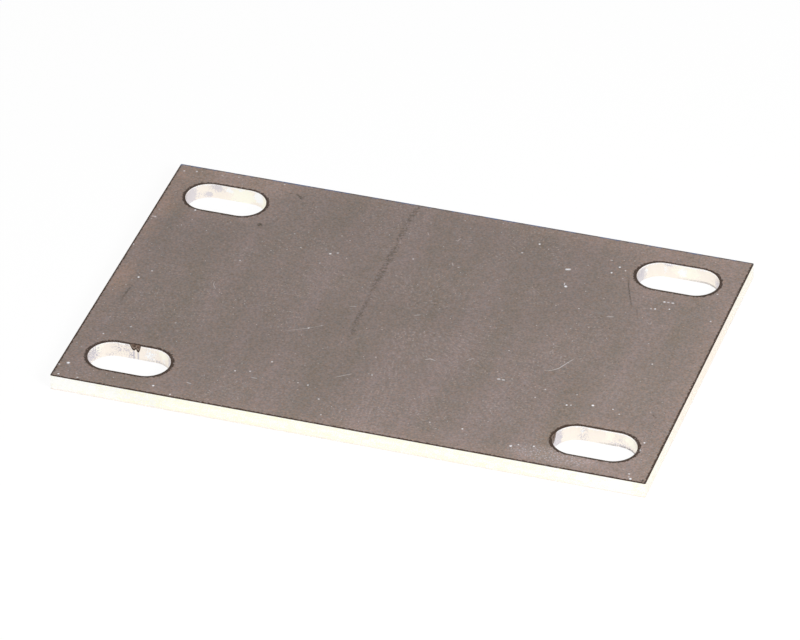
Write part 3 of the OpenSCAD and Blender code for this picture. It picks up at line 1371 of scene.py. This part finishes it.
@dataclass(frozen=True)
class MillFinish:
    """Rolled steel under a thin brown-grey scale, tinted dark along its cut edges."""

    band_dark: Paint = Paint(117, 106, 97)
    band_light: Paint = Paint(129, 114, 110)
    tone_warm: Paint = Paint(160, 128, 106)
    tone_cool: Paint = Paint(118, 126, 132)
    tint: Paint = Paint(52, 34, 20)
    tint_back: Paint = Paint(86, 76, 74)
    tint_blue: Paint = Paint(82, 98, 132)
    blue_size: float = 3.0
    blue_cover: Point = (0.42, 0.58)
    bare: Paint = Paint(236, 236, 240)
    stain: Paint = Paint(74, 65, 56)
    streak_size: float = 0.65
    streak_spread: float = 0.16
    streak_breaks: Point = (0.34, 0.50)
    streak_edge: Point = (0.05, 0.3)
    streak_strength: float = 0.55
    stain_break_size: float = 0.55
    stain_breaks: Point = (0.34, 0.52)
    band_stretch: Triple = (12.0, 80.0, 80.0)
    band_contrast: float = 2.0
    band_detail: float = 3.0
    cloud_size: float = 26.0
    cloud_depth: float = 0.10
    grain_size: float = 0.68
    grain_depth: float = 1.15
    grain_tone: Triple = (1.0, 0.97, 1.14)
    tone_size: float = 0.45
    tone_depth: float = 1.9
    outline_tint: Point = (0.42, 0.70)
    slot_tint: Point = (0.62, 0.95)
    tint_strength: float = 0.97
    tint_wander: float = 1.1
    tint_wander_size: float = 0.6
    round_end: Point = (1.5, 6.0)
    end_widening: float = 0.20
    end_wander: float = 1.7
    rear_rim: Point = (44.0, 48.0)
    rear_narrowing: float = 0.15
    side_reach: Point = (1.5, 0.8)
    front_narrowing: float = 0.15
    halo: Triple = (1.10, 1.065, 1.04)
    halo_width: float = 7.0
    scuff: Paint = Paint(188, 178, 174)
    scuff_size: float = 0.7
    scuff_detail: float = 1.0
    scuff_specks: Point = (0.58, 0.74)
    scuff_patch: float = 16.0
    scuff_cover: Point = (0.42, 0.62)
    scuff_strength: float = 0.3
    mottle_size: float = 5.0
    mottle_depth: float = 0.9
    rubbed_and_lit_patches: tuple[RubbedAndLitPatch, ...] = (
        # Painted light: the broad neutral patches at the right end and along the front brighten the face
        # towards its right and its front; the others are rubbed wear.
        RubbedAndLitPatch((95.0, 0.0), (50.0, 180.0), (1.11, 1.11, 1.11)),
        RubbedAndLitPatch((58.0, 62.0), (52.0, 16.0), (1.10, 1.08, 1.06)),
        RubbedAndLitPatch((0.0, -70.0), (120.0, 40.0), (1.08, 1.08, 1.08)),
        RubbedAndLitPatch((60.0, -52.0), (15.0, 4.2), (1.18, 1.20, 1.25), 0.7),
        RubbedAndLitPatch((-86.2, 34.0), (5.0, 6.0), (1.15, 1.09, 1.04)),
        RubbedAndLitPatch((-86.6, 22.5), (3.0, 6.0), (1.06, 1.03, 1.0)),
        RubbedAndLitPatch((-85.4, -4.0), (3.8, 9.0), (1.17, 1.10, 1.04)),
        RubbedAndLitPatch((-70.0, 54.0), (26.0, 7.0), (1.23, 1.19, 1.16)),
        RubbedAndLitPatch((-86.0, 46.0), (5.0, 10.0), (1.12, 1.09, 1.06)),
    )
    rubbed_and_lit_reach: Point = (1.2, 0.4)
    speck: Paint = Paint(176, 172, 176)
    speck_spacing: float = 1.0
    speck_reach: Point = (0.30, 0.10)
    metallic: float = 0.5
    roughness: Point = (0.42, 0.54)
    bump_height: float = 0.012

    def material(self, plate: MountingPlate, effects: Effects) -> bpy.types.Material:
        """Builds the material.

        Args:
            plate: The plate, for the places of its edges.
            effects: The shared effects.

        Returns:
            The material.
        """
        made = bpy.data.materials.new("mill_scale")
        made.use_nodes = True
        graph = Graph(made.node_tree)
        shader = made.node_tree.nodes["Principled BSDF"]
        seen = graph.node("ShaderNodeTexCoord").outputs["Object"]
        place = graph.scaled(seen, 1.0 / MM)
        rolled = {"Stretch": self.band_stretch, "Detail": self.band_detail, "Contrast": self.band_contrast}
        bands = effects.streaks.place(graph, {"Place": place, **rolled})["Mask"]
        grain = effects.speckle.place(graph, {"Place": place, "Size": self.grain_size})
        mottle = effects.speckle.place(graph, {"Place": place, "Size": self.mottle_size})["Value"]
        patches = graph.math("ADD", bands, graph.math("MULTIPLY", mottle, self.mottle_depth), clamp=True)
        colour = graph.mix(patches, self.band_dark, self.band_light)
        tone = effects.speckle.place(graph, {"Place": place, "Size": self.tone_size})["Tone"]
        colour = self._shaded(graph, colour, place, grain["Value"], tone)
        colour = self._rubbed_and_lit(graph, colour, place)
        colour = self._edged(graph, colour, plate, effects, place)
        colour = self._marked(graph, colour, place)
        graph.feed(shader.inputs["Base Color"], colour)
        graph.feed(shader.inputs["Roughness"], graph.spread(bands, self.roughness[1], self.roughness[0]))
        shader.inputs["Metallic"].default_value = self.metallic
        bump = graph.node("ShaderNodeBump", {"Height": grain["Value"], "Distance": self.bump_height * MM})
        graph.feed(shader.inputs["Normal"], bump.outputs["Normal"])
        return made

    def _shaded(self, graph: Graph, colour: Any, place: Any, grain: Any, tone: Any) -> Any:
        """Adds broad clouds, fine grain and the grain's warm and cool tones.

        Args:
            graph: The material's graph.
            colour: The colour so far.
            place: The place on the plate.
            grain: The grain's value.
            tone: The grain's tone.

        Returns:
            The new colour.
        """
        cloud = graph.noise(place, 1.0 / self.cloud_size)
        cloudy = graph.spread(cloud, 1.0 - self.cloud_depth, 1.0 + self.cloud_depth)
        grainy = graph.math("MULTIPLY", grain, self.grain_depth)
        level = graph.vector("ADD", graph.scaled(self.grain_tone, grainy), FULL)
        shaded = graph.vector("MULTIPLY", graph.scaled(colour, cloudy), level)
        warm = graph.math("MULTIPLY", tone, self.tone_depth, clamp=True)
        cool = graph.math("MULTIPLY", tone, -self.tone_depth, clamp=True)
        warmed = graph.mix(warm, shaded, self.tone_warm)
        return graph.mix(cool, warmed, self.tone_cool)

    def _edged(self, graph: Graph, colour: Any, plate: MountingPlate, effects: Effects, place: Any) -> Any:
        """Adds the dark heat tint along the cut edges, and the slightly paler border beside it.

        Args:
            graph: The material's graph.
            colour: The colour so far.
            plate: The plate.
            effects: The shared effects.
            place: The place on the plate.

        Returns:
            The new colour.
        """
        sizes = {
            "Place": place,
            "Half length": plate.length / 2,
            "Half width": plate.width / 2,
            "Slot X": plate.pitch[0] / 2,
            "Slot Y": plate.pitch[1] / 2,
            "Half travel": plate.half_travel,
            "Slot radius": plate.slot_radius,
        }
        found = effects.edge_distance.place(graph, sizes)
        nearest = graph.math("MINIMUM", found["To outline"], found["To slot"])
        halo = graph.ease(nearest, self.halo_width, 0.0)
        paler = graph.mix(halo, colour, graph.vector("MULTIPLY", colour, self.halo))
        wavy = effects.speckle.place(graph, {"Place": place, "Size": self.tint_wander_size})["Value"]
        across = graph.node("ShaderNodeSeparateXYZ", {"Vector": place}).outputs["Y"]
        far, near = (plate.width / 2 - reach for reach in self.side_reach)
        back = graph.ease(across, far, near)
        front = graph.ease(across, -far, -near)
        narrowed = graph.math("ADD", found["To outline"], graph.math("MULTIPLY", front, self.front_narrowing))
        from_outline = graph.math("ADD", narrowed, graph.math("MULTIPLY", wavy, self.tint_wander))
        ends = graph.ease(found["Past travel"], *self.round_end)
        rough = graph.spread(ends, self.tint_wander, self.end_wander)
        rear = graph.math("MULTIPLY", graph.ease(across, *self.rear_rim), self.rear_narrowing)
        reached = graph.math("ADD", found["To slot"], rear)
        widened = graph.math("SUBTRACT", reached, graph.math("MULTIPLY", ends, self.end_widening))
        from_slot = graph.math("ADD", widened, graph.math("MULTIPLY", wavy, rough))
        outline_tint = graph.ease(from_outline, self.outline_tint[1], self.outline_tint[0])
        slot_tint = graph.ease(from_slot, self.slot_tint[1], self.slot_tint[0])
        tint = graph.math("MULTIPLY", graph.math("MAXIMUM", outline_tint, slot_tint), self.tint_strength)
        blue = graph.ease(graph.noise(place, 1.0 / self.blue_size), *self.blue_cover)
        behind = graph.mix(blue, self.tint_back, self.tint_blue)
        tinted = graph.mix(back, self.tint, behind)
        return graph.mix(tint, paler, tinted)

    def _rubbed_and_lit(self, graph: Graph, colour: Any, place: Any) -> Any:
        """Lightens the patches, rubbed wear and painted light, and sets bright specks in them.

        Args:
            graph: The material's graph.
            colour: The colour so far.
            place: The place on the plate.

        Returns:
            The new colour.
        """
        cells = graph.node(
            "ShaderNodeTexVoronoi",
            {"Vector": place, "Scale": 1.0 / self.speck_spacing},
            voronoi_dimensions="2D",
        )
        bright = graph.ease(cells.outputs["Distance"], *self.speck_reach)
        retoned = colour
        for patch in self.rubbed_and_lit_patches:
            offset = graph.vector("SUBTRACT", place, (*patch.place, 0.0))
            shares = graph.vector("DIVIDE", offset, (*patch.half_size, 1.0))
            reach = graph.length(graph.vector("MULTIPLY", shares, FLAT))
            inside = graph.ease(reach, *self.rubbed_and_lit_reach)
            retoned = graph.mix(inside, retoned, graph.vector("MULTIPLY", retoned, patch.tone))
            if patch.specks:
                specked = graph.math("MULTIPLY", graph.math("MULTIPLY", inside, bright), patch.specks)
                retoned = graph.mix(specked, retoned, self.speck)
        return retoned

    def _marked(self, graph: Graph, colour: Any, place: Any) -> Any:
        """Adds the scuffs, the stains and the scraped marks.

        Args:
            graph: The material's graph.
            colour: The colour so far.
            place: The place on the plate.

        Returns:
            The new colour.
        """
        fine = graph.noise(place, 1.0 / self.scuff_size, self.scuff_detail)
        specks = graph.ease(fine, *self.scuff_specks)
        spread = graph.ease(graph.noise(place, 1.0 / self.scuff_patch), *self.scuff_cover)
        scuffs = graph.math("MULTIPLY", graph.math("MULTIPLY", specks, spread), self.scuff_strength)
        retoned = graph.mix(scuffs, colour, self.scuff)
        patchy = graph.ease(graph.noise(place, 1.0 / self.stain_break_size), *self.stain_breaks)
        stain = graph.math("MULTIPLY", graph.attribute(Mark.STAIN.value), patchy)
        stained = graph.mix(stain, retoned, self.stain)
        dots = graph.noise(place, 1.0 / self.streak_size)
        lined = graph.attribute(Mark.STREAK.value)
        thinned = graph.math("SUBTRACT", dots, graph.spread(lined, self.streak_spread, 0.0))
        dotted = graph.math("MULTIPLY", graph.ease(thinned, *self.streak_breaks), self.streak_strength)
        streak = graph.math("MULTIPLY", dotted, graph.ease(lined, *self.streak_edge))
        stained = graph.mix(streak, stained, self.stain)
        return graph.mix(graph.attribute(Mark.BARE.value), stained, self.bare)


@dataclass(frozen=True)
class CutFinish:
    """Bare steel of a thermal cut, near white partly from its own pale bare metal and partly from painted
    light of the bright light in front, with drag lines, burnt brown where a cut was started.
    """

    # Near-white paints: the bare cut steel's own pale metal together with painted light from the bright light
    # in front.
    bright: Paint = Paint(255, 255, 253)
    cream: Paint = Paint(255, 254, 226)
    # Painted highlight: the white band just under the top rim of each wall.
    rim_highlight: Paint = Paint(255, 255, 255)
    scorch: Paint = Paint(66, 53, 44)
    toe: Paint = Paint(250, 236, 226)
    # Painted shading on the outline's walls that face along X, strongest near their middle.
    end: Paint = Paint(253, 241, 227)
    drag: Paint = Paint(253, 250, 241)
    # The slot walls' warm tint is painted shade inside the slots.
    slot: Paint = Paint(251, 241, 230)
    slot_cream: Paint = Paint(255, 252, 237)
    # Painted shade at the slots' round ends and feet; elsewhere grey patches of the wall.
    grey: Paint = Paint(219, 214, 218)
    stipple: Paint = Paint(190, 186, 198)
    # Painted glints: the white patches on the slot walls.
    glint: Paint = Paint(254, 255, 255)
    # Painted contact shade along the foot of a slot's wall.
    foot: Paint = Paint(112, 107, 116)
    burn: Paint = Paint(122, 103, 92)
    burn_rim: Paint = Paint(60, 47, 39)
    # Painted highlight along a ridge inside a burnt scar.
    ridge_highlight: Paint = Paint(158, 142, 132)
    ridge_rise: Point = (0.22, 0.34)
    ridge_fall: Point = (0.54, 0.42)
    ridge_strength: float = 0.85
    grain_size: float = 0.34
    dither: float = 1.6
    dither_edge: Point = (0.35, 0.65)
    cream_stretch: Triple = (3.0, 3.0, 1.2)
    cream_contrast: float = 3.0
    cream_detail: float = 3.0
    cream_share: float = 0.3
    cream_rise: Point = (90.0, 52.0)
    cream_corner: Point = (83.0, 87.0)
    cream_cover: Point = (0.06, 0.30)
    cream_edges: float = 0.17
    end_shade_cream: float = 0.18
    rim_highlight_reach: Point = (0.04, 0.085)
    rim_highlight_soft: float = 0.04
    rim_highlight_dither: float = 0.5
    scorch_share: Point = (0.052, 0.040)
    toe_share: Point = (0.88, 0.92)
    toe_strength: float = 0.8
    drag_stretch: Triple = (0.5, 0.5, 4.0)
    drag_contrast: float = 1.8
    drag_detail: float = 2.0
    drag_strength: float = 0.3
    end_shade_middle: Point = (50.0, 10.0)
    end_shade_cover: Point = (0.44, 0.70)
    slot_patches: float = 0.3
    slot_shade_strength: float = 0.92
    grey_strength: float = 0.9
    stipple_share: Point = (0.0, 0.08)
    foot_share: Point = (0.83, 0.93)
    foot_breaks: Point = (-0.14, 0.0)
    burn_edge: Point = (0.05, 0.8)
    burn_size: float = 0.55
    burn_breaks: Point = (0.0, 0.12)
    burn_strength: float = 0.75
    trail_strength: float = 0.95
    metallic: float = 0.9
    roughness: Point = (0.30, 0.46)
    bump_height: float = 0.02

    def material(self, effects: Effects) -> bpy.types.Material:
        """Builds the material.

        Args:
            effects: The shared effects.

        Returns:
            The material.
        """
        made = bpy.data.materials.new("cut_steel")
        made.use_nodes = True
        graph = Graph(made.node_tree)
        shader = made.node_tree.nodes["Principled BSDF"]
        place = graph.attribute("cut_place", "Vector")
        dragged = {"Stretch": self.drag_stretch, "Detail": self.drag_detail, "Contrast": self.drag_contrast}
        lines = effects.streaks.place(graph, {"Place": place, **dragged})["Mask"]
        seen = graph.scaled(graph.node("ShaderNodeTexCoord").outputs["Object"], 1.0 / MM)
        grain = effects.speckle.place(graph, {"Place": seen, "Size": self.grain_size})
        milky = {"Stretch": self.cream_stretch, "Detail": self.cream_detail, "Contrast": self.cream_contrast}
        patches = effects.streaks.place(graph, {"Place": seen, **milky})["Mask"]
        split = graph.node("ShaderNodeSeparateXYZ", {"Vector": seen}).outputs
        from_middle = graph.math("ABSOLUTE", split["X"])
        # The outline's walls that face along X carry painted shading: extra cream, and peach near their
        # middle.
        end = graph.attribute("end")
        side = graph.math("SUBTRACT", 1.0, end)
        corner = graph.math("MULTIPLY", graph.ease(split["X"], *self.cream_corner), side)
        risen = graph.math("MAXIMUM", graph.ease(from_middle, *self.cream_rise), corner)
        cover = graph.spread(risen, *self.cream_cover)
        down = graph.attribute("down")
        rims = graph.math("ABSOLUTE", graph.spread(down, -self.cream_edges, self.cream_edges))
        patchy = graph.math("ADD", rims, graph.math("MULTIPLY", patches, self.cream_share))
        ending = graph.math("ADD", cover, graph.math("MULTIPLY", end, self.end_shade_cream))
        creamy = graph.math("ADD", ending, patchy)
        colour = graph.mix(self._dots(graph, creamy, grain["Tone"]), self.bright, self.cream)
        colour = graph.mix(graph.math("MULTIPLY", lines, self.drag_strength), colour, self.drag)
        # Painted shading on those end walls, strongest near their middle.
        to_middle = graph.ease(graph.math("ABSOLUTE", split["Y"]), *self.end_shade_middle)
        end_shade_cover = graph.spread(to_middle, *self.end_shade_cover)
        ends = graph.math("MULTIPLY", end, end_shade_cover)
        colour = graph.mix(self._dots(graph, ends, grain["Value"]), colour, self.end)
        colour = self._slotted(graph, colour, grain, patches)
        colour = self._banded(graph, colour, grain)
        colour = self._burnt(graph, colour, effects, seen)
        graph.feed(shader.inputs["Base Color"], colour)
        graph.feed(shader.inputs["Roughness"], graph.spread(lines, *self.roughness))
        shader.inputs["Metallic"].default_value = self.metallic
        bump = graph.node("ShaderNodeBump", {"Height": lines, "Distance": self.bump_height * MM})
        graph.feed(shader.inputs["Normal"], bump.outputs["Normal"])
        return made

    def _dots(self, graph: Graph, share: Any, grain: Any) -> Socket:
        """Breaks a smooth share up into fine dots.

        Args:
            graph: The material's graph.
            share: How much is to be covered.
            grain: Fine grain about 0.

        Returns:
            The dots' mask.
        """
        uneven = graph.math("ADD", share, graph.math("MULTIPLY", grain, self.dither))
        return graph.ease(uneven, *self.dither_edge)

    def _banded(self, graph: Graph, colour: Any, grain: Sockets) -> Any:
        """Adds what runs along a wall: a painted highlight just under the top rim, and outside a scorched
        edge above and a fine line below.

        Args:
            graph: The material's graph.
            colour: The colour so far.
            grain: The grain's outputs.

        Returns:
            The new colour.
        """
        down = graph.attribute("down")
        slot = graph.attribute("slot")
        outer = graph.math("SUBTRACT", 1.0, slot)
        # Painted highlight just under the top rim.
        uneven = graph.math("ADD", down, graph.math("MULTIPLY", grain["Value"], self.rim_highlight_dither))
        reach = graph.spread(slot, *self.rim_highlight_reach)
        gone = graph.math("ADD", reach, self.rim_highlight_soft)
        full = graph.math("SUBTRACT", reach, self.rim_highlight_soft)
        highlighted = graph.mix(graph.ease(uneven, gone, full), colour, self.rim_highlight)
        low = graph.math("MULTIPLY", graph.ease(down, *self.toe_share), outer)
        broken = graph.math("MULTIPLY", low, graph.ease(grain["Tone"], *self.foot_breaks))
        toed = graph.mix(graph.math("MULTIPLY", broken, self.toe_strength), highlighted, self.toe)
        scorch = graph.math("MULTIPLY", graph.ease(down, *self.scorch_share), outer)
        return graph.mix(scorch, toed, self.scorch)

    def _slotted(self, graph: Graph, colour: Any, grain: Sockets, patches: Any) -> Any:
        """Adds the slots' warm tint, which is painted shade inside them, their patches, among them painted
        shade and painted glints, and the painted contact shade at their foot.

        Args:
            graph: The material's graph.
            colour: The colour so far.
            grain: The grain's outputs.
            patches: Where the cut is creamier.

        Returns:
            The new colour.
        """
        # Painted shade: the slot walls' warm tint.
        slot = graph.math("MULTIPLY", graph.attribute("warm"), self.slot_shade_strength)
        tones = {tone: graph.attribute(tone.value) for tone in WallTone}
        blotched = graph.math("MULTIPLY", patches, self.slot_patches)
        creamy = self._dots(graph, graph.math("ADD", tones[WallTone.CREAM], blotched), grain["Tone"])
        slot_shaded = graph.mix(slot, colour, graph.mix(creamy, self.slot, self.slot_cream))
        # Grey patches: painted shade at the slot ends and feet, and grey patches elsewhere.
        grey = self._dots(graph, tones[WallTone.GREY], grain["Value"])
        greyed = graph.mix(graph.math("MULTIPLY", grey, self.grey_strength), slot_shaded, self.grey)
        # Painted glints: the white patches.
        lit = graph.mix(self._dots(graph, tones[WallTone.WHITE], grain["Tone"]), greyed, self.glint)
        specks = graph.ease(grain["Value"], *self.stipple_share)
        dotted = graph.mix(graph.math("MULTIPLY", specks, tones[WallTone.STIPPLE]), lit, self.stipple)
        # Painted contact shade along the foot of a slot's wall, darker towards its right end.
        low = graph.ease(graph.attribute("down"), *self.foot_share)
        broken = graph.math("MULTIPLY", low, graph.ease(grain["Tone"], *self.foot_breaks))
        foot = graph.math("MULTIPLY", broken, graph.attribute("foot"))
        return graph.mix(foot, dotted, self.foot)

    def _burnt(self, graph: Graph, colour: Any, effects: Effects, place: Any) -> Any:
        """Adds the burnt scars with their dark rims and blotches, and the faint grey streaks below them.

        Args:
            graph: The material's graph.
            colour: The colour so far.
            effects: The shared effects.
            place: The place on the plate.

        Returns:
            The new colour.
        """
        burn = graph.attribute("burn")
        soot = graph.math("MULTIPLY", graph.attribute("soot"), self.trail_strength)
        trailed = graph.mix(soot, colour, self.stipple)
        blotch = effects.speckle.place(graph, {"Place": place, "Size": self.burn_size})["Value"]
        dark = graph.math("MULTIPLY", graph.ease(blotch, *self.burn_breaks), self.burn_strength)
        inside = graph.mix(dark, self.burn, self.burn_rim)
        deep = graph.mix(graph.ease(burn, *self.burn_edge), self.burn_rim, inside)
        # Painted highlight along a ridge inside the scar.
        ridge_highlight = graph.math("MULTIPLY", graph.ease(burn, *self.ridge_rise), graph.ease(burn, *self.ridge_fall))
        scar = graph.mix(graph.math("MULTIPLY", ridge_highlight, self.ridge_strength), deep, self.ridge_highlight)
        return graph.mix(graph.ease(burn, 0.0, self.burn_edge[0]), trailed, scar)


@dataclass(frozen=True)
class SoftBox:
    """One soft lamp."""

    name: str
    place: Triple
    size: float
    power: float


@dataclass(frozen=True)
class Studio:
    """A white floor in plain soft light, and the camera."""

    aim: Point = (-1.35, -1.23)
    azimuth: float = 18.03
    elevation: float = 34.95
    roll: float = -0.45
    distance: float = 2061.4
    lens: float = 320.0
    sensor: float = 36.0
    floor_half: float = 4000.0
    floor_gap: float = 0.05
    floor_glow: float = 0.94
    sky: float = 0.32
    lamps: tuple[SoftBox, ...] = (
        SoftBox("near_lamp", (380.0, -330.0, 360.0), 260.0, 4.5),
        SoftBox("front_lamp", (300.0, -1200.0, 900.0), 900.0, 4.0),
        SoftBox("side_lamp", (-1000.0, -200.0, 900.0), 900.0, 2.0),
    )

    def build(self, plate: MountingPlate) -> None:
        """Builds the floor, the light and the camera.

        Args:
            plate: The plate that they show.
        """
        scene = bpy.context.scene
        scene.view_settings.view_transform = "Standard"
        self._floor()
        scene.world = self._world()
        for lamp in self.lamps:
            self._lamp(lamp)
        scene.camera = self._camera(plate)

    @staticmethod
    def _shown(graph: Graph) -> Socket:
        """Adds a switch that is 1 for what the camera sees, straight or by reflection or through glass.

        Args:
            graph: The graph to add it to.

        Returns:
            The switch's socket.
        """
        rays = graph.node("ShaderNodeLightPath").outputs
        mirrored = graph.math("MAXIMUM", rays["Is Glossy Ray"], rays["Is Transmission Ray"])
        return graph.math("MAXIMUM", rays["Is Camera Ray"], mirrored)

    def _floor(self) -> bpy.types.Object:
        """Builds the white floor, which keeps a faint shadow.

        Returns:
            The floor.
        """
        half = self.floor_half * MM
        height = -self.floor_gap * MM
        mesh = bpy.data.meshes.new("floor")
        corners = [(-half, -half, height), (half, -half, height), (half, half, height), (-half, half, height)]
        mesh.from_pydata(corners, [], [(0, 1, 2, 3)])
        made = bpy.data.materials.new("white_floor")
        made.use_nodes = True
        graph = Graph(made.node_tree)
        made.node_tree.nodes.remove(made.node_tree.nodes["Principled BSDF"])
        paper = graph.node("ShaderNodeBsdfDiffuse", {"Color": WHITE}).outputs["BSDF"]
        glow = graph.node("ShaderNodeEmission", {"Strength": 1.0}).outputs["Emission"]
        share = graph.math("MULTIPLY", self._shown(graph), self.floor_glow)
        both = graph.node("ShaderNodeMixShader", {0: share, 1: paper, 2: glow})
        graph.feed(made.node_tree.nodes["Material Output"].inputs["Surface"], both.outputs["Shader"])
        mesh.materials.append(made)
        floor = bpy.data.objects.new("floor", mesh)
        bpy.context.scene.collection.objects.link(floor)
        return floor

    def _world(self) -> bpy.types.World:
        """Builds the white surroundings, at full white where they are seen.

        Returns:
            The world.
        """
        world = bpy.data.worlds.new("studio")
        world.use_nodes = True
        graph = Graph(world.node_tree)
        light = world.node_tree.nodes["Background"]
        light.inputs["Color"].default_value = WHITE
        graph.feed(light.inputs["Strength"], graph.spread(self._shown(graph), self.sky, 1.0))
        return world

    @staticmethod
    def _lamp(lamp: SoftBox) -> None:
        """Adds a lamp that faces the middle of the plate.

        Args:
            lamp: The lamp.
        """
        data = bpy.data.lights.new(lamp.name, "AREA")
        data.shape = "DISK"
        data.size = lamp.size * MM
        data.energy = lamp.power
        made = bpy.data.objects.new(lamp.name, data)
        made.location = Vector(lamp.place) * MM
        made.rotation_euler = (-Vector(lamp.place)).to_track_quat("-Z", "Y").to_euler()
        made.visible_camera = False
        made.visible_glossy = False
        bpy.context.scene.collection.objects.link(made)

    def _camera(self, plate: MountingPlate) -> bpy.types.Object:
        """Places the camera at the photograph's viewing angle.

        Args:
            plate: The plate, for the height of its top face.

        Returns:
            The camera.
        """
        turn, tilt = math.radians(self.azimuth), math.radians(self.elevation)
        flat = math.cos(tilt)
        back = Vector((math.sin(turn) * flat, -math.cos(turn) * flat, math.sin(tilt)))
        level = Vector(UP).cross(back).normalized()
        right = Matrix.Rotation(math.radians(self.roll), 3, back) @ level
        above = back.cross(right)
        data = bpy.data.cameras.new("camera")
        data.lens = self.lens
        data.sensor_width = self.sensor
        camera = bpy.data.objects.new("camera", data)
        pose = Matrix((right, above, back)).transposed().to_4x4()
        pose.translation = Vector((*self.aim, plate.thickness)) * MM + back * self.distance * MM
        camera.matrix_world = pose
        bpy.context.scene.collection.objects.link(camera)
        return camera


def main() -> None:
    """Builds the plate, its finishes and the studio, in order."""
    logging.basicConfig(level=logging.INFO, format="%(message)s")
    effects = Effects()
    plate = MountingPlate.from_frame(frame)
    mill = MillFinish().material(plate, effects)
    cut = CutFinish().material(effects)
    piece = plate.build(cut)
    plate.dress(piece, mill, cut)
    sizes = (plate.length, plate.width, plate.thickness)
    LOG.info("%s: %d faces, %.1f by %.1f by %.2f mm", piece.name, len(piece.data.polygons), *sizes)
    Studio().build(plate)
    LOG.info("studio: floor, lamps, world and camera")



if __name__ == "__main__":
    main()
